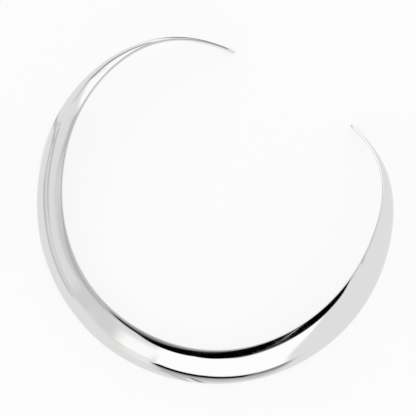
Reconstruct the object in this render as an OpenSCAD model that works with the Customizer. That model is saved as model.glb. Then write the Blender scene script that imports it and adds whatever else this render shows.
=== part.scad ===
// Rigid collar choker of polished sheet silver: one domed band, open at the back of the neck.
// The throat faces -Y and the open back +Y. Seen from the side the band arches over the
// shoulders, so on a table it rests on its front edge and on its two tips.
// Lengths are in millimetres and angles in degrees.

/* [Neck ring] */
// Radius of the band's lower edge at the throat
ring_radius = 70.4; // [62:0.2:82]
// Angle from the throat round to each tip
arm_reach = 154; // [146:1:162]
// How far the lower edge arches up at the sides
side_rise = 16; // [4:0.5:22]

/* [Band] */
// Width of the band at the throat, straight across
band_width = 15.2; // [10:0.2:18]
// Thickness of the silver sheet
sheet = 1.0; // [0.8:0.1:1.6]
// Radius of the dome across the band
dome_radius = 16; // [12:0.5:30]
// Slope of the band at the throat, from flat
throat_slope = 37; // [25:1:50]
// Slope of the band at the tips, from flat
tip_slope = 85; // [70:1:88]
// Length of the rounded end of each tip
tip_round = 3.2; // [1.5:0.1:5]

/* [Smoothness] */
// Sections from the throat to each tip
arm_sections = 56; // [24:4:72]
// Facets across the band
band_facets = 10; // [6:1:12]

/* [Hidden] */

// One row for each even step of an arm, from the throat to the tip. A smooth curve runs near
// the rows. Radius and width are shares of the throat's, slope goes from the throat's, 0, to
// the tips', 1, and rise is a share of side_rise.
RADIUS = 0;
WIDTH = 1;
SLOPE = 2;
RISE = 3;
ARM_ROWS = [
    [1.000, 1.00, 0.00, 0.00],
    [1.003, 1.01, 0.04, 0.00],
    [1.004, 1.03, 0.10, 0.00],
    [1.007, 1.06, 0.19, 0.26],
    [1.010, 1.06, 0.33, 0.70],
    [0.989, 0.94, 0.54, 0.96],
    [0.984, 0.64, 0.77, 0.54],
    [0.886, 0.27, 1.00, -0.06],
];
last_row = len(ARM_ROWS) - 1;

rim_facets = 4;
end_sections = 6;
// Where the last section of a tip stands on its rounding, and how soon the sheet thins there
end_angle = 80;
end_thinning = 0.3;
throat_chord = band_width - sheet;
// Angle that the rounded end of a tip spans
end_reach = tip_round / (ring_radius * ARM_ROWS[last_row][RADIUS]) * 180 / PI;

// The rows go on past the throat as their own mirror image, and straight on past the tip.
function row(i) =
    i < 0 ? ARM_ROWS[-i]
    : i > last_row ? 2 * ARM_ROWS[last_row] - ARM_ROWS[last_row - 1]
    : ARM_ROWS[i];

// Smooth blend of the rows at a share of the arm, as a uniform cubic B-spline
function arm_at(share) =
    let (
        place = share * last_row,
        i = min(floor(place), last_row - 1),
        f = place - i,
        before = pow(1 - f, 3),
        here = 3 * pow(f, 3) - 6 * pow(f, 2) + 4,
        next = -3 * pow(f, 3) + 3 * pow(f, 2) + 3 * f + 1,
        after = pow(f, 3)
    )
    (before * row(i - 1) + here * row(i) + next * row(i + 1) + after * row(i + 2)) / 6;

// Lower edge of the band in plan, with the throat at angle 0 on -Y
function edge_point(angle) =
    ring_radius * arm_at(abs(angle) / arm_reach)[RADIUS] * [sin(angle), -cos(angle)];

// Unit vector straight out of the ring at that angle
function outward(angle) =
    let (
        step = 0.2,
        run = edge_point(min(angle + step, arm_reach)) - edge_point(max(angle - step, -arm_reach))
    )
    [run[1], -run[0]] / norm(run);

// Closed outline of the sheet across the band, as [towards the neck, up], about the middle of
// its chord: the outer face, the upper rim, the inner face and the lower rim
function sheet_outline(chord, slope, thickness) =
    let (
        half_arc = asin(chord / (2 * dome_radius)),
        spans = [for (k = [0:band_facets]) (2 * k / band_facets - 1) * half_arc],
        turns = [for (k = [1:rim_facets - 1]) 180 * k / rim_facets],
        face_point = function(arc, radius)
            [radius * sin(arc), radius * cos(arc) - dome_radius * cos(half_arc)],
        rim_point = function(arc, turn)
            face_point(arc, dome_radius) + thickness / 2 * [sin(arc + turn), cos(arc + turn)],
        outline = concat(
            [for (arc = spans) face_point(arc, dome_radius + thickness / 2)],
            [for (turn = turns) rim_point(half_arc, turn)],
            [for (arc = spans) face_point(-arc, dome_radius - thickness / 2)],
            [for (turn = turns) rim_point(-half_arc, 180 + turn)]
        )
    )
    [for (p = outline) [p[0] * cos(slope) - p[1] * sin(slope), p[0] * sin(slope) + p[1] * cos(slope)]];

// One section of the band at an angle, with its width and thickness cut to a share
function band_section(angle, width_share, thickness_share) =
    let (
        arm = arm_at(abs(angle) / arm_reach),
        chord = throat_chord * arm[WIDTH],
        slope = throat_slope + (tip_slope - throat_slope) * arm[SLOPE],
        out = outward(angle),
        edge = edge_point(angle),
        inset = chord / 2 * cos(slope),
        height = side_rise * arm[RISE] + chord / 2 * sin(slope)
    )
    [
        for (p = sheet_outline(chord * width_share, slope, sheet * thickness_share))
            let (plan = edge - out * (inset + p[0])) [plan[0], plan[1], height + p[1]]
    ];

// Stations as [angle, share of width, share of thickness], from the throat to one tip
function arm_stations() =
    concat(
        [for (k = [0:arm_sections]) [(arm_reach - end_reach) * k / arm_sections, 1, 1]],
        [
            for (k = [1:end_sections])
                let (turn = end_angle * k / end_sections)
                [arm_reach - end_reach * (1 - sin(turn)), cos(turn), pow(cos(turn), end_thinning)]
        ]
    );

// The whole band as one solid: a skin over the sections, closed at both tips
module swept_band() {
    arm = arm_stations();
    stations = concat(
        [for (k = [len(arm) - 1:-1:1]) [-arm[k][0], arm[k][1], arm[k][2]]],
        arm
    );
    raw = [for (s = stations) each band_section(s[0], s[1], s[2])];
    lowest = [for (axis = [0:2]) min([for (p = raw) p[axis]])];
    highest = [for (axis = [0:2]) max([for (p = raw) p[axis]])];
    shift = [0, -(lowest[1] + highest[1]) / 2, -lowest[2]];
    around = 2 * (band_facets + 1) + 2 * (rim_facets - 1);
    rings = len(stations);
    throat = len(arm) - 1;
    // The facets of one arm mirror those of the other.
    skin = [
        for (r = [0:rings - 2], k = [0:around - 1])
            let (
                a = r * around + k,
                b = r * around + (k + 1) % around,
                c = b + around,
                d = a + around
            )
            each r < throat ? [[a, b, c], [a, c, d]] : [[a, b, d], [b, c, d]]
    ];
    first_end = [for (k = [around - 1:-1:0]) k];
    second_end = [for (k = [0:around - 1]) (rings - 1) * around + k];
    translate(shift)
        polyhedron(points = raw, faces = concat(skin, [first_end, second_end]), convexity = 6);
}

// The collar: a single piece of silver
module collar_band() {
    color("silver") swept_band();
}

collar_band();
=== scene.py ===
"""A rigid silver collar choker and the plain studio that it lies in, as a Blender add-on."""

from math import asin, atan2, cos, degrees, radians, sin, sqrt

import bpy
from bpy.props import FloatProperty, FloatVectorProperty, IntProperty, PointerProperty
from bpy.types import Operator, Panel, PropertyGroup
from mathutils import Matrix, Vector


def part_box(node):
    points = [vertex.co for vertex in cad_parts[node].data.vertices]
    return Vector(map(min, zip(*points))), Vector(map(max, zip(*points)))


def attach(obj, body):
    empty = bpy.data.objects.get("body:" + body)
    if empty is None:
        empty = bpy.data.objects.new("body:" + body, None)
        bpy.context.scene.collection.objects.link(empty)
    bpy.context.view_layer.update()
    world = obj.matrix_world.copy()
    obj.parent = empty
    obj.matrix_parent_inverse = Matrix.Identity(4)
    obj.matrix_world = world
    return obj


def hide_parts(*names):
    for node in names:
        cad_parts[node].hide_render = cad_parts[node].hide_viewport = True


bl_info = {
    "name": "Collar choker",
    "version": (1, 0, 0),
    "blender": (4, 5, 0),
    "location": "3D View > Sidebar > Collar",
    "description": "Models a rigid collar of polished sheet silver and lights it on a pale floor",
    "category": "Object",
}

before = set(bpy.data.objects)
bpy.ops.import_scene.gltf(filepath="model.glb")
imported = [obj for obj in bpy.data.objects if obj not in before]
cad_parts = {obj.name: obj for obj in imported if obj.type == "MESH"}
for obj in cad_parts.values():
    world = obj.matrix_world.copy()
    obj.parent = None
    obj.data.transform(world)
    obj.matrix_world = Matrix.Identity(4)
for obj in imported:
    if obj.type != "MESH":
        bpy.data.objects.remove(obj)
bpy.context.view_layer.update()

# One row for each even step of an arm, from the throat to the tip: radius and width as shares
# of the throat's, slope from the throat's, 0, to the tips', 1, and rise as a share of the sides'
ARM_ROWS = (
    # radius, width, slope, rise
    (1.000, 1.00, 0.00, 0.00),
    (1.003, 1.01, 0.04, 0.00),
    (1.004, 1.03, 0.10, 0.00),
    (1.007, 1.06, 0.19, 0.26),
    (1.010, 1.06, 0.33, 0.70),
    (0.989, 0.94, 0.54, 0.96),
    (0.984, 0.64, 0.77, 0.54),
    (0.886, 0.27, 1.00, -0.06),
)
# Where the last sections of a tip stand on its quarter round
END_TURNS = tuple(radians(turn) for turn in (30, 55, 75))
# Angle to both sides of a station over which an arm's heading is measured
HEADING_STEP = radians(0.2)
# Points of the two arms nearer than this, in metres, are one point
MERGE_DISTANCE = 0.00001

# How far the rim of the outer face is rounded at these angles from the throat, in degrees, as
# shares of the throat's: one row for the -X arm and one for the +X arm, which are finished by hand
ROUND_ANGLES = (0, 30, 45, 62, 76, 84)
ROUND_SHARES = (
    (1.0, 0.87, 0.68, 0.15, 0.2, 0.6),
    (1.0, 0.87, 0.71, 0.47, 0.24, 0.15),
)
# The most that rounding takes of the face beside it, and the faces across a rounding
ROUND_OF_FACE = 0.6
ROUND_STEPS = 3

# Depths of the marks that polishing leaves, in metres
HAIRLINE_DEPTH = 0.0000001
WAVE_DEPTH = 0.00001
# Metres of noise for each radian along the band: so few that the hairlines run along it
HAIRLINE_STRETCH = 0.004
# Noise of each kind of mark: its cells to the metre, detail and roughness
HAIRLINE_NOISE = (2600.0, 3.0, 0.6)
WAVE_NOISE = (45.0, 1.0, 0.4)
SMUDGE_NOISE = (130.0, 4.0, 0.55)
# Level of the noise at which a mark begins, and at which it is full
HAIRLINE_LEVELS = (0.58, 0.72)
SMUDGE_LEVELS = (0.45, 0.75)
# How much a full hairline roughens the silver, as a share of what a full smudge does
HAIRLINE_SHARE = 0.6

WHITE = (1.0, 1.0, 1.0, 1.0)
FLOOR_ROUGHNESS = 0.9
# Width of the camera's sensor, in millimetres
SENSOR_WIDTH = 36.0

# What the silver mirrors, painted one over the other: soft-edged strips of the studio round the
# collar, some of them below its own height. A strip runs straight from one direction to another,
# each given as a bearing from +X and a height from level. All angles are in degrees.
STUDIO_STRIPS = (
    # name, from bearing, from height, to bearing, to height, half width, softness, brightness
    ("floor glow", 123.5, -72.0, 303.5, -72.0, 20.0, 8.0, 0.89),
    ("floor glow, north", 121.5, -33.0, 145.5, -80.0, 9.0, 5.0, 1.00),
    ("floor glow, west", 183.5, -60.0, 218.5, -48.0, 10.0, 5.0, 1.06),
    ("floor glow, west, high", 216.5, -47.0, 248.5, -41.0, 10.0, 6.0, 1.06),
    ("west wall", 239.5, 68.0, 239.5, 14.0, 22.0, 3.0, 0.76),
    ("north-west wall", 193.5, 5.0, 221.5, 40.0, 11.0, 3.0, 0.76),
    ("fold in the wall", 241.5, 62.0, 241.5, 14.0, 4.5, 3.0, 0.66),
    ("top of the wall", 221.5, 52.0, 243.5, 67.0, 5.0, 3.5, 0.47),
    ("shade by the arch, west", 196.5, 21.0, 218.5, 32.0, 2.5, 2.5, 0.48),
    ("shade by the arch", 218.0, 31.5, 232.0, 51.0, 3.0, 3.0, 0.61),
    ("arch, inside, low", 192.5, -14.5, 212.0, -0.5, 3.5, 1.5, 0.68),
    ("arch, inside", 211.5, 0.0, 239.5, 10.0, 4.5, 2.0, 0.68),
    ("arch, low", 161.0, -66.0, 179.5, -43.5, 0.8, 0.8, 0.50),
    ("arch, outer, foot", 179.5, -43.5, 191.0, -9.0, 0.7, 0.7, 0.66),
    ("arch, inner, foot", 179.5, -43.5, 188.0, -24.5, 0.9, 0.8, 0.56),
    ("arch, inner, low", 188.0, -25.5, 198.0, -9.5, 1.2, 1.0, 0.50),
    ("arch, outer, low", 192.0, -9.5, 205.5, 2.5, 1.4, 1.1, 0.50),
    ("arch, outer, side", 205.0, 2.0, 213.5, 8.0, 1.8, 1.2, 0.53),
    ("arch, outer, shoulder", 213.0, 8.0, 221.5, 14.5, 2.0, 1.3, 0.56),
    ("arch, outer, top", 219.5, 13.5, 245.5, 15.5, 2.2, 1.5, 0.65),
    ("arch, outer, far", 243.5, 14.5, 263.5, 8.0, 2.2, 1.5, 0.73),
    ("arch, inner, side", 196.5, -10.5, 207.5, -9.0, 1.6, 1.2, 0.52),
    ("arch, inner, shoulder", 206.5, -9.0, 218.5, -0.5, 2.0, 1.4, 0.51),
    ("arch, inner, top", 216.5, -2.0, 237.5, 5.0, 2.2, 1.8, 0.54),
    ("edge of the north panel", 131.5, -31.5, 154.5, -28.0, 4.0, 1.5, 0.33),
    ("edge of the north panel, west", 151.5, -28.0, 167.5, -20.0, 3.5, 1.5, 0.33),
    ("edge of the north panel, end", 166.5, -20.0, 180.5, -10.0, 2.5, 2.0, 0.59),
    ("north panel", 128.5, -18.0, 157.5, -10.0, 9.5, 1.5, 1.04),
    ("north panel, west", 156.5, -8.0, 181.5, 25.0, 13.0, 2.0, 1.04),
    ("front softbox, low side", 267.5, 14.0, 271.5, -6.0, 6.0, 3.0, 0.86),
    ("shade beside the softbox", 250.0, 53.0, 253.5, 15.0, 4.5, 3.0, 0.68),
    ("front softbox, side, top", 267.5, 58.0, 267.5, 50.0, 7.0, 3.0, 0.76),
    ("front softbox, side, high", 267.5, 52.0, 267.5, 45.0, 7.0, 3.0, 0.89),
    ("front softbox, side", 267.5, 46.0, 267.5, 13.0, 7.0, 3.0, 1.03),
    ("front softbox, west", 286.0, 56.0, 286.0, 2.0, 9.5, 1.0, 1.06),
    ("front softbox, east", 294.0, 50.0, 305.0, -16.0, 16.0, 1.5, 1.06),
    ("under the softbox", 280.5, -6.0, 322.5, -27.0, 9.0, 4.0, 0.55),
    ("shade under the softbox", 277.5, 0.0, 322.5, -21.0, 4.0, 2.5, 0.31),
    ("crease under the softbox", 279.5, -6.0, 291.5, -34.0, 1.0, 1.0, 0.48),
    ("glint", 290.5, -20.7, 294.0, -35.6, 1.0, 0.8, 0.99),
    ("edge of the glint", 291.0, -16.4, 295.5, -33.2, 0.9, 0.8, 0.24),
    ("gap", 276.0, 4.5, 295.5, -6.5, 3.2, 1.0, 0.00),
    ("gap, east", 293.5, -5.0, 310.5, -16.0, 2.8, 1.0, 0.00),
    ("gap, end", 309.5, -16.5, 322.5, -18.5, 1.8, 1.0, 0.20),
)

# Round dark hole above the collar, painted over the strips as discs that overlap
HOLE_BRIGHTNESS = 0.0
STUDIO_DISCS = (
    # name, bearing of the middle, height of the middle, radius, softness
    ("camera hole, west", 299.5, 70.5, 18.2, 0.6),
    ("camera hole, corner", 259.5, 69.8, 7.0, 1.2),
    ("camera hole, low", 285.0, 65.5, 12.5, 0.7),
    ("camera hole, middle", 307.0, 60.5, 14.1, 0.5),
    ("camera hole, east", 323.5, 53.3, 19.1, 0.5),
    ("camera hole, east, high", 333.0, 55.3, 22.4, 0.5),
)

# Strips painted last: the light beyond the dark hole, and the shades round it and by the tips
STUDIO_TOP = (
    # name, from bearing, from height, to bearing, to height, half width, softness, brightness
    ("light above", 101.5, 82.0, 19.5, 32.0, 30.0, 4.0, 0.59),
    ("shade above", 297.5, 72.0, 352.5, 40.0, 6.0, 3.5, 0.36),
    ("dark side, west", 206.0, 60.0, 138.5, 28.0, 10.5, 5.0, 0.33),
    ("dark side, north", 138.5, 34.0, 122.5, -20.0, 11.0, 5.0, 0.51),
    ("grey above", 127.5, 60.0, 273.5, 71.5, 7.0, 4.0, 0.28),
    ("dark wall", 111.5, 64.0, 107.5, 10.0, 10.0, 8.0, 0.36),
    ("tip shade, east", 0.5, 31.5, 81.5, 12.0, 6.0, 2.5, 0.26),
    ("tip shade, north", 81.5, 12.0, 112.5, -42.0, 5.5, 3.0, 0.28),
    ("tip shade, low", 112.5, -40.0, 125.5, -65.0, 7.0, 4.0, 0.22),
)


class CollarSizes(PropertyGroup):
    """Sizes of the collar, as in the solid that it replaces, and the finish of its silver"""

    ring_radius: FloatProperty(
        name="Ring radius",
        description="Radius of the band's lower edge at the throat",
        default=0.0704,
        min=0.062,
        max=0.082,
        unit="LENGTH",
    )
    arm_reach: FloatProperty(
        name="Arm reach",
        description="Angle from the throat round to each tip",
        default=radians(154),
        min=radians(146),
        max=radians(162),
        subtype="ANGLE",
    )
    side_rise: FloatProperty(
        name="Side rise",
        description="How far the lower edge arches up at the sides",
        default=0.016,
        min=0.004,
        max=0.022,
        unit="LENGTH",
    )
    band_width: FloatProperty(
        name="Band width",
        description="Width of the band at the throat, straight across",
        default=0.0152,
        min=0.010,
        max=0.018,
        unit="LENGTH",
    )
    sheet: FloatProperty(
        name="Sheet",
        description="Thickness of the silver sheet",
        default=0.001,
        min=0.0008,
        max=0.0016,
        unit="LENGTH",
    )
    dome_radius: FloatProperty(
        name="Dome radius",
        description="Radius of the dome across the band",
        default=0.016,
        min=0.012,
        max=0.030,
        unit="LENGTH",
    )
    throat_slope: FloatProperty(
        name="Throat slope",
        description="Slope of the band at the throat, from flat",
        default=radians(37),
        subtype="ANGLE",
    )
    tip_slope: FloatProperty(
        name="Tip slope",
        description="Slope of the band at the tips, from flat",
        default=radians(85),
        subtype="ANGLE",
    )
    tip_round: FloatProperty(
        name="Tip round",
        description="Length of the rounded end of each tip",
        default=0.0032,
        min=0.0015,
        max=0.005,
        unit="LENGTH",
    )
    stations: IntProperty(
        name="Stations",
        description="Sections modelled from the throat to each tip",
        default=24,
        min=16,
        max=40,
    )
    columns: IntProperty(
        name="Columns",
        description="Faces across the band before it is smoothed",
        default=6,
        min=4,
        max=8,
    )
    outer_round: FloatProperty(
        name="Outer round",
        description="Width that is rounded off the rim of the outer face, at the throat",
        default=0.0008,
        min=0.0001,
        max=0.0008,
        unit="LENGTH",
    )
    inner_round: FloatProperty(
        name="Inner round",
        description="Width that is rounded off the rim of the inner face, at the throat",
        default=0.00015,
        min=0.0001,
        max=0.0002,
        unit="LENGTH",
    )
    smoothing: IntProperty(
        name="Smoothing",
        description="Times that each face of the band is divided in four",
        default=3,
        min=1,
        max=4,
    )
    silver_colour: FloatVectorProperty(
        name="Silver colour",
        description="Colour that the silver gives to what it mirrors",
        default=(0.927, 0.922, 0.918),
        subtype="COLOR",
        min=0.0,
        max=1.0,
    )
    silver_roughness: FloatProperty(
        name="Silver roughness",
        description="Roughness of the polished silver between its marks",
        default=0.03,
        min=0.0,
        max=0.3,
    )


class StageLook(PropertyGroup):
    """Camera, floor and light of the studio"""

    camera_lean: FloatProperty(
        name="Camera lean",
        description="Angle of the view from straight above",
        default=radians(11.33),
        subtype="ANGLE",
    )
    camera_bearing: FloatProperty(
        name="Camera bearing",
        description="Side of the collar that the camera leans towards, from +X",
        default=radians(-47.7),
        subtype="ANGLE",
    )
    picture_up: FloatProperty(
        name="Picture up",
        description="Direction on the floor that is up in the picture, from +X",
        default=radians(123.3),
        subtype="ANGLE",
    )
    camera_distance: FloatProperty(
        name="Camera distance",
        description="Distance from the camera to the middle of the view",
        default=0.9,
        unit="LENGTH",
    )
    view_width: FloatProperty(
        name="View width",
        description="Width of the floor that the picture shows",
        default=0.1647,
        unit="LENGTH",
    )
    aim_x: FloatProperty(
        name="Aim X",
        description="Place on the floor that the camera looks at, along X",
        default=-0.00205,
        unit="LENGTH",
    )
    aim_y: FloatProperty(
        name="Aim Y",
        description="Place on the floor that the camera looks at, along Y",
        default=0.00463,
        unit="LENGTH",
    )
    light: FloatProperty(
        name="Light",
        description="Brightness of the even light on the floor",
        default=1.05,
    )
    surround: FloatProperty(
        name="Surround",
        description="Brightness that the silver mirrors between the panels",
        default=0.785,
    )
    floor_size: FloatProperty(
        name="Floor size",
        description="Side of the square floor",
        default=6.0,
        unit="LENGTH",
    )
    floor_glow: FloatProperty(
        name="Floor glow",
        description="Light that the floor gives off by itself, as the glass of a light table does",
        default=0.808,
    )
    floor_colour: FloatVectorProperty(
        name="Floor colour",
        description="Colour of the floor itself, apart from its glow",
        default=(0.16, 0.16, 0.16),
        subtype="COLOR",
        min=0.0,
        max=1.0,
    )


def deselect_all():
    """Leaves edit mode, with nothing selected."""
    if bpy.context.mode != "OBJECT":
        bpy.ops.object.mode_set(mode="OBJECT")
    bpy.ops.object.select_all(action="DESELECT")


def make_active(piece):
    """Selects one piece alone and makes it the active one."""
    deselect_all()
    piece.select_set(True)
    bpy.context.view_layer.objects.active = piece


def finish_modifier(piece, kind, **settings):
    """Adds a modifier with these settings and applies it."""
    modifier = piece.modifiers.new(kind.lower(), kind)
    for key, value in settings.items():
        setattr(modifier, key, value)
    make_active(piece)
    bpy.ops.object.modifier_apply(modifier=modifier.name)


def arm_at(share):
    """Radius, width, slope and rise at a share of the arm: a smooth curve that runs near the rows."""
    last = len(ARM_ROWS) - 1
    past_tip = tuple(2 * tip - before for tip, before in zip(ARM_ROWS[last], ARM_ROWS[last - 1]))
    rows = (ARM_ROWS[1],) + ARM_ROWS + (past_tip,)
    place = share * last
    first = min(int(place), last - 1)
    t = place - first
    # How much each of the four nearest rows counts, in sixths
    sixths = ((1 - t) ** 3, 3 * t**3 - 6 * t**2 + 4, -3 * t**3 + 3 * t**2 + 3 * t + 1, t**3)
    nearest = rows[first : first + 4]
    return [sum(part * row[k] for part, row in zip(sixths, nearest)) / 6 for k in range(4)]


def edge_point(sizes, angle):
    """A point of the band's lower edge in plan, with the throat at angle 0 on -Y."""
    radius = sizes.ring_radius * arm_at(min(abs(angle) / sizes.arm_reach, 1.0))[0]
    return Vector((radius * sin(angle), -radius * cos(angle), 0.0))


def dome_rise(sizes, width):
    """Height of the dome over a chord of this width."""
    return sizes.dome_radius - sqrt(sizes.dome_radius**2 - (width / 2) ** 2)


def section_template(sizes):
    """The section across the throat: a point spun into the arc of the dome, chord along X."""
    half_width = sizes.band_width / 2
    half_arc = asin(half_width / sizes.dome_radius)
    foot = sizes.dome_radius * cos(half_arc)
    deselect_all()
    bpy.ops.mesh.primitive_plane_add(size=sizes.sheet, location=(-half_width, 0.0, 0.0))
    template = bpy.context.object
    bpy.ops.object.transform_apply(location=True)
    bpy.ops.object.mode_set(mode="EDIT")
    bpy.ops.mesh.select_all(action="SELECT")
    bpy.ops.mesh.merge(type="CENTER")
    bpy.ops.mesh.spin(
        steps=sizes.columns, angle=2 * half_arc, center=(0.0, 0.0, -foot), axis=(0.0, -1.0, 0.0)
    )
    bpy.ops.object.mode_set(mode="OBJECT")
    return template


def station_places(sizes):
    """Angle of each section, from the throat to the tip, and the share of the chord left there."""
    end_reach = sizes.tip_round / (sizes.ring_radius * ARM_ROWS[-1][0])
    straight = sizes.arm_reach - end_reach
    places = [(straight * k / sizes.stations, 1.0) for k in range(sizes.stations + 1)]
    places += [(sizes.arm_reach - end_reach * (1 - sin(turn)), cos(turn)) for turn in END_TURNS]
    return places


def place_section(sizes, template, angle, width_share):
    """A copy of the section, sized, tilted and turned to its station."""
    width_at, slope_at, rise_at = arm_at(angle / sizes.arm_reach)[1:]
    slope = sizes.throat_slope + (sizes.tip_slope - sizes.throat_slope) * slope_at
    chord = (sizes.band_width - sizes.sheet) * width_at
    width = chord * width_share + sizes.sheet
    ahead = edge_point(sizes, min(angle + HEADING_STEP, sizes.arm_reach))
    run = ahead - edge_point(sizes, angle - HEADING_STEP)
    turn = atan2(run.x, -run.y)
    # The chord runs up the slope towards the neck, and the dome swells outwards from it
    inward = Vector((cos(turn), sin(turn), 0.0))
    across = inward * cos(slope) + Vector((0.0, 0.0, sin(slope)))
    outward = Vector((0.0, 0.0, cos(slope))) - inward * sin(slope)
    foot = edge_point(sizes, angle) + Vector((0.0, 0.0, sizes.side_rise * rise_at))
    make_active(template)
    bpy.ops.object.duplicate()
    section = bpy.context.object
    throat_rise = dome_rise(sizes, sizes.band_width)
    section.scale = (width / sizes.band_width, 1.0, dome_rise(sizes, width) / throat_rise)
    section.rotation_euler = (0.0, -slope, turn)
    lift = dome_rise(sizes, chord) - dome_rise(sizes, width)
    section.location = foot + across * chord / 2 + outward * lift
    bpy.ops.object.transform_apply(location=True, rotation=True, scale=True)
    return section


def bridged_arm(sizes, places):
    """One arm of the band, a surface without thickness, bridged from section to section."""
    template = section_template(sizes)
    sections = [place_section(sizes, template, angle, share) for angle, share in places]
    bpy.data.objects.remove(template)
    deselect_all()
    for section in sections:
        section.select_set(True)
    piece = sections[0]
    bpy.context.view_layer.objects.active = piece
    bpy.ops.object.join()
    bpy.ops.object.mode_set(mode="EDIT")
    bpy.ops.mesh.select_all(action="SELECT")
    bpy.ops.mesh.bridge_edge_loops()
    bpy.ops.object.mode_set(mode="OBJECT")
    if len(piece.data.polygons) != (len(places) - 1) * sizes.columns:
        raise RuntimeError("the sections of the band weren't bridged one to the next")
    return piece


def band_sheet(sizes):
    """The whole band as one closed smooth mesh."""
    places = station_places(sizes)
    piece = bridged_arm(sizes, places)
    # Smoothing draws a ring of straight steps inwards, so the ring starts this much larger
    swell = 3 / (2 + cos(places[1][0]))
    bpy.ops.transform.resize(value=(swell, swell, 1.0), center_override=(0.0, 0.0, 0.0))
    bpy.ops.object.transform_apply(location=True, rotation=True, scale=True)
    finish_modifier(piece, "MIRROR", use_axis=(True, False, False), use_clip=True)
    bpy.ops.object.mode_set(mode="EDIT")
    bpy.ops.mesh.select_all(action="SELECT")
    bpy.ops.mesh.remove_doubles(threshold=MERGE_DISTANCE)
    bpy.ops.mesh.normals_make_consistent(inside=False)
    bpy.ops.object.mode_set(mode="OBJECT")
    far_side = piece.vertex_groups.new(name="far_side").name
    finish_modifier(
        piece,
        "SOLIDIFY",
        thickness=sizes.sheet,
        offset=0.0,
        use_even_offset=True,
        use_quality_normals=True,
        shell_vertex_group=far_side,
    )
    weigh_rims(piece, sizes)
    finish_modifier(
        piece,
        "BEVEL",
        width=sizes.outer_round,
        segments=ROUND_STEPS,
        limit_method="WEIGHT",
        use_clamp_overlap=False,
    )
    piece.vertex_groups.clear()
    finish_modifier(piece, "SUBSURF", levels=sizes.smoothing, render_levels=sizes.smoothing)
    bpy.ops.object.shade_smooth()
    settle(piece)
    return piece


def rim_share(point):
    """Rounding of the outer rim near a point, as a share of the throat's."""
    angle = degrees(atan2(abs(point.x), -point.y))
    shares = ROUND_SHARES[1 if point.x > 0 else 0]
    for k in range(1, len(ROUND_ANGLES)):
        if angle < ROUND_ANGLES[k]:
            step = (angle - ROUND_ANGLES[k - 1]) / (ROUND_ANGLES[k] - ROUND_ANGLES[k - 1])
            return shares[k - 1] + (shares[k] - shares[k - 1]) * step
    return shares[-1]


def weigh_rims(piece, sizes):
    """Sets how far each edge of the rims is rounded. The inner face is the far side of the sheet."""
    mesh = piece.data
    far = {vertex.index for vertex in mesh.vertices if vertex.groups}
    rims = set()
    sides = {}
    for face in mesh.polygons:
        on_far = far.intersection(face.vertices)
        if 0 < len(on_far) < len(face.vertices):
            rims.update(face.edge_keys)
        else:
            sides.update((key, face) for key in face.edge_keys)
    edges = [edge for edge in mesh.edges if edge.key in rims and edge.key in sides]
    weights = mesh.attributes.new("bevel_weight_edge", "FLOAT", "EDGE")
    for edge in edges:
        start, end = (mesh.vertices[i].co for i in edge.key)
        if edge.key[0] in far:
            share = sizes.inner_round / sizes.outer_round
        else:
            share = rim_share(start)
        face_width = sides[edge.key].area / (end - start).length
        most = ROUND_OF_FACE * face_width / sizes.outer_round
        weights.data[edge.index].value = min(share, most)


def settle(piece):
    """Fits the band to the solid's box, where it rests on the floor."""
    corners = [Vector(corner) for corner in piece.bound_box]
    low = Vector([min(corner[k] for corner in corners) for k in range(3)])
    high = Vector([max(corner[k] for corner in corners) for k in range(3)])
    cad_low, cad_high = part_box("collar_band")
    fit = [(cad_high[k] - cad_low[k]) / (high[k] - low[k]) for k in range(3)]
    make_active(piece)
    bpy.ops.transform.translate(value=(cad_low + cad_high - low - high) / 2)
    bpy.ops.transform.resize(value=fit, center_override=(cad_low + cad_high) / 2)
    bpy.ops.object.transform_apply(location=True, rotation=True, scale=True)


def add_node(tree, kind, values=(), **settings):
    """Adds a node with these settings, its first inputs linked to sockets or set to plain values."""
    node = tree.nodes.new(kind)
    for key, value in settings.items():
        setattr(node, key, value)
    for slot, value in zip(node.inputs, values):
        if isinstance(value, bpy.types.NodeSocket):
            tree.links.new(value, slot)
        elif value is not None:
            slot.default_value = value
    return node


def new_group(name, inputs, outputs):
    """A node group with these sockets: the group, what it is given and what it puts out."""
    tree = bpy.data.node_groups.new(name, "ShaderNodeTree")
    for in_out, sockets in (("INPUT", inputs), ("OUTPUT", outputs)):
        for socket, kind in sockets.items():
            tree.interface.new_socket(socket, in_out=in_out, socket_type="NodeSocket" + kind)
    given = tree.nodes.new("NodeGroupInput").outputs
    result = tree.nodes.new("NodeGroupOutput").inputs
    return tree, given, result


def maths(tree, operation, *values):
    """The result of one operation on numbers."""
    return add_node(tree, "ShaderNodeMath", values, operation=operation).outputs[0]


def dot(tree, a, b):
    """The dot product of two vectors."""
    return add_node(tree, "ShaderNodeVectorMath", (a, b), operation="DOT_PRODUCT").outputs["Value"]


def noise(tree, place, settings):
    """Noise at a place, with its scale, detail and roughness as settings."""
    return add_node(tree, "ShaderNodeTexNoise", (place, None, *settings)).outputs[0]


def ramp(tree, value, start, end, **settings):
    """A value's rise from 0 at the start to 1 at the end."""
    return add_node(
        tree, "ShaderNodeMapRange", (value, start, end, 0.0, 1.0), **settings
    ).outputs["Result"]


def painted(tree, below, mask, above):
    """What is below, with what is above painted over it where the mask is 1."""
    return add_node(tree, "ShaderNodeMix", (mask, None, below, above)).outputs["Result"]


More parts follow.
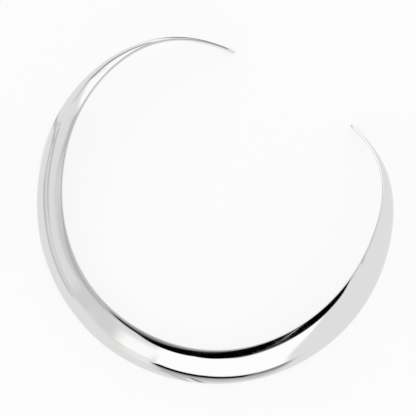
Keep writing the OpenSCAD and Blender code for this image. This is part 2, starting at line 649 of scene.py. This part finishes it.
def polish_group():
    """Node group: faint marks that polishing leaves on sheet silver, as a roughness and a normal."""
    tree, given, result = new_group(
        "polish_marks",
        {"Position": "Vector", "Hairlines": "Float", "Waves": "Float", "Roughness": "Float"},
        {"Roughness": "Float", "Normal": "Vector"},
    )
    x, y, z = add_node(tree, "ShaderNodeSeparateXYZ", (given["Position"],)).outputs
    squares = maths(tree, "ADD", maths(tree, "POWER", x, 2.0), maths(tree, "POWER", y, 2.0))
    turn = maths(tree, "ARCTAN2", x, maths(tree, "MULTIPLY", y, -1.0))
    along = maths(tree, "MULTIPLY", turn, HAIRLINE_STRETCH)
    unrolled = add_node(tree, "ShaderNodeCombineXYZ", (maths(tree, "SQRT", squares), along, z))
    hairlines = noise(tree, unrolled.outputs[0], HAIRLINE_NOISE)
    waves = noise(tree, given["Position"], WAVE_NOISE)
    smudges = noise(tree, given["Position"], SMUDGE_NOISE)
    scratched = maths(tree, "MULTIPLY", ramp(tree, hairlines, *HAIRLINE_LEVELS), HAIRLINE_SHARE)
    marks = maths(tree, "ADD", scratched, ramp(tree, smudges, *SMUDGE_LEVELS))
    rough = maths(tree, "MULTIPLY", given["Roughness"], maths(tree, "ADD", marks, 1.0))
    tree.links.new(rough, result["Roughness"])
    lines_height = maths(tree, "MULTIPLY", hairlines, given["Hairlines"])
    waves_height = maths(tree, "MULTIPLY", waves, given["Waves"])
    # Strength and distance are 1, so the heights are metres
    bump = add_node(tree, "ShaderNodeBump", (1.0, 1.0))
    tree.links.new(maths(tree, "ADD", lines_height, waves_height), bump.inputs["Height"])
    tree.links.new(bump.outputs["Normal"], result["Normal"])
    return tree


def polished_silver(sizes):
    """The silver: a mirror with the marks of its polishing."""
    material = bpy.data.materials.new("polished_silver")
    material.use_nodes = True
    tree = material.node_tree
    shader = tree.nodes["Principled BSDF"]
    shader.inputs["Base Color"].default_value = (*sizes.silver_colour, 1.0)
    shader.inputs["Metallic"].default_value = 1.0
    position = tree.nodes.new("ShaderNodeTexCoord").outputs["Object"]
    values = (position, HAIRLINE_DEPTH, WAVE_DEPTH, sizes.silver_roughness)
    marks = add_node(tree, "ShaderNodeGroup", values, node_tree=polish_group()).outputs
    tree.links.new(marks["Roughness"], shader.inputs["Roughness"])
    tree.links.new(marks["Normal"], shader.inputs["Normal"])
    return material


class COLLAR_OT_band(Operator):
    """Models the band: sections placed along one arm, bridged, mirrored, thickened and smoothed"""

    bl_idname = "collar.band"
    bl_label = "Collar band"

    def execute(self, context):
        sizes = context.scene.collar_sizes
        piece = band_sheet(sizes)
        piece.name = "polished_collar_band"
        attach(piece, "root")
        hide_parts("collar_band")
        piece.data.materials.clear()
        piece.data.materials.append(polished_silver(sizes))
        return {"FINISHED"}


def heading(bearing, height):
    """Unit vector at this bearing from +X and height from level, in degrees."""
    turn, lift = radians(bearing), radians(height)
    return Vector((cos(turn) * cos(lift), sin(turn) * cos(lift), sin(lift)))


def strip_group():
    """Node group: a soft-edged strip far away, as a mask over directions."""
    tree, given, result = new_group(
        "studio_strip",
        {
            "Direction": "Vector",
            "Side": "Vector",
            "Start": "Vector",
            "End": "Vector",
            "Half Width": "Float",
            "Softness": "Float",
        },
        {"Mask": "Float"},
    )
    aside = maths(tree, "ABSOLUTE", dot(tree, given["Direction"], given["Side"]))
    depths = (
        maths(tree, "SUBTRACT", given["Half Width"], aside),
        dot(tree, given["Direction"], given["Start"]),
        dot(tree, given["Direction"], given["End"]),
    )
    outside = maths(tree, "MULTIPLY", given["Softness"], -1.0)
    edges = [
        ramp(tree, depth, outside, given["Softness"], interpolation_type="SMOOTHSTEP")
        for depth in depths
    ]
    sides_and_start = maths(tree, "MULTIPLY", edges[0], edges[1])
    tree.links.new(maths(tree, "MULTIPLY", sides_and_start, edges[2]), result["Mask"])
    return tree


def paint_strips(tree, direction, mirrored, strips):
    """Paints strips over what is mirrored so far."""
    group = bpy.data.node_groups["studio_strip"]
    for name, bearing, height, to_bearing, to_height, half_width, softness, brightness in strips:
        start = heading(bearing, height)
        end = heading(to_bearing, to_height)
        side = start.cross(end).normalized()
        sines = (sin(radians(half_width)), sin(radians(softness)))
        values = (direction, side, side.cross(start), end.cross(side), *sines)
        mask = add_node(tree, "ShaderNodeGroup", values, node_tree=group, label=name).outputs["Mask"]
        mirrored = painted(tree, mirrored, mask, brightness)
    return mirrored


def paint_discs(tree, direction, mirrored, discs):
    """Paints the round dark hole over what is mirrored so far."""
    for name, bearing, height, radius, softness in discs:
        closeness = dot(tree, direction, heading(bearing, height))
        outer, inner = cos(radians(radius + softness)), cos(radians(radius - softness))
        mask = ramp(tree, closeness, outer, inner, interpolation_type="SMOOTHSTEP", label=name)
        mirrored = painted(tree, mirrored, mask, HOLE_BRIGHTNESS)
    return mirrored


def studio_light(look):
    """World light: plain for the floor and the backdrop, with strips for what the silver mirrors."""
    world = bpy.data.worlds.new("studio")
    bpy.context.scene.world = world
    world.use_nodes = True
    tree = world.node_tree
    tree.nodes.clear()
    direction = tree.nodes.new("ShaderNodeTexCoord").outputs["Generated"]
    strip_group()
    mirrored = paint_strips(tree, direction, look.surround, STUDIO_STRIPS)
    mirrored = paint_discs(tree, direction, mirrored, STUDIO_DISCS)
    mirrored = paint_strips(tree, direction, mirrored, STUDIO_TOP)
    in_mirror = tree.nodes.new("ShaderNodeLightPath").outputs["Is Glossy Ray"]
    strength = painted(tree, look.light, in_mirror, mirrored)
    background = add_node(tree, "ShaderNodeBackground", (WHITE, strength))
    output = tree.nodes.new("ShaderNodeOutputWorld")
    tree.links.new(background.outputs[0], output.inputs["Surface"])


def pale_floor(look):
    """The floor, which gives off most of its light itself and isn't mirrored by the silver."""
    deselect_all()
    bpy.ops.mesh.primitive_plane_add(size=look.floor_size)
    floor = bpy.context.object
    floor.name = "floor"
    floor.visible_glossy = False
    material = bpy.data.materials.new("pale_floor")
    material.use_nodes = True
    shader = material.node_tree.nodes["Principled BSDF"]
    shader.inputs["Base Color"].default_value = (*look.floor_colour, 1.0)
    shader.inputs["Emission Color"].default_value = WHITE
    shader.inputs["Emission Strength"].default_value = look.floor_glow
    shader.inputs["Roughness"].default_value = FLOOR_ROUGHNESS
    shader.inputs["Specular IOR Level"].default_value = 0.0
    floor.data.materials.append(material)


def place_camera(scene, look):
    """The camera, with the middle of its view on the floor inside the collar."""
    aim = Vector((look.aim_x, look.aim_y, 0.0))
    towards = heading(degrees(look.camera_bearing), 90 - degrees(look.camera_lean))
    data = bpy.data.cameras.new("camera")
    data.sensor_width = SENSOR_WIDTH
    data.lens = SENSOR_WIDTH * look.camera_distance / look.view_width
    camera = bpy.data.objects.new("camera", data)
    scene.collection.objects.link(camera)
    up = heading(degrees(look.picture_up), 0.0)
    right = up.cross(towards).normalized()
    axes = Matrix((right, towards.cross(right), towards)).transposed()
    camera.matrix_world = Matrix.Translation(aim + towards * look.camera_distance) @ axes.to_4x4()
    scene.camera = camera


class COLLAR_OT_stage(Operator):
    """Builds the pale floor, the soft light and the camera"""

    bl_idname = "collar.stage"
    bl_label = "Stage"

    def execute(self, context):
        look = context.scene.collar_stage
        pale_floor(look)
        studio_light(look)
        place_camera(context.scene, look)
        view = context.scene.view_settings
        view.view_transform = "Standard"
        view.look = "None"
        return {"FINISHED"}


class COLLAR_PT_panel(Panel):
    """Sizes and steps of the collar"""

    bl_idname = "COLLAR_PT_panel"
    bl_label = "Collar choker"
    bl_space_type = "VIEW_3D"
    bl_region_type = "UI"
    bl_category = "Collar"

    def draw(self, context):
        for group in (context.scene.collar_sizes, context.scene.collar_stage):
            box = self.layout.box()
            for key in group.__annotations__:
                box.prop(group, key)
        for operator in OPERATORS:
            self.layout.operator(operator.bl_idname)


OPERATORS = (COLLAR_OT_band, COLLAR_OT_stage)
CLASSES = (CollarSizes, StageLook) + OPERATORS + (COLLAR_PT_panel,)


def register():
    """Registers the collar's classes, with their settings on the scene."""
    for each in CLASSES:
        bpy.utils.register_class(each)
    bpy.types.Scene.collar_sizes = PointerProperty(type=CollarSizes)
    bpy.types.Scene.collar_stage = PointerProperty(type=StageLook)


def unregister():
    """Takes all of them away again."""
    del bpy.types.Scene.collar_stage
    del bpy.types.Scene.collar_sizes
    for each in reversed(CLASSES):
        bpy.utils.unregister_class(each)


def main():
    """Builds the collar and its stage."""
    register()
    bpy.ops.collar.band()
    bpy.ops.collar.stage()


if __name__ == "__main__":
    main()
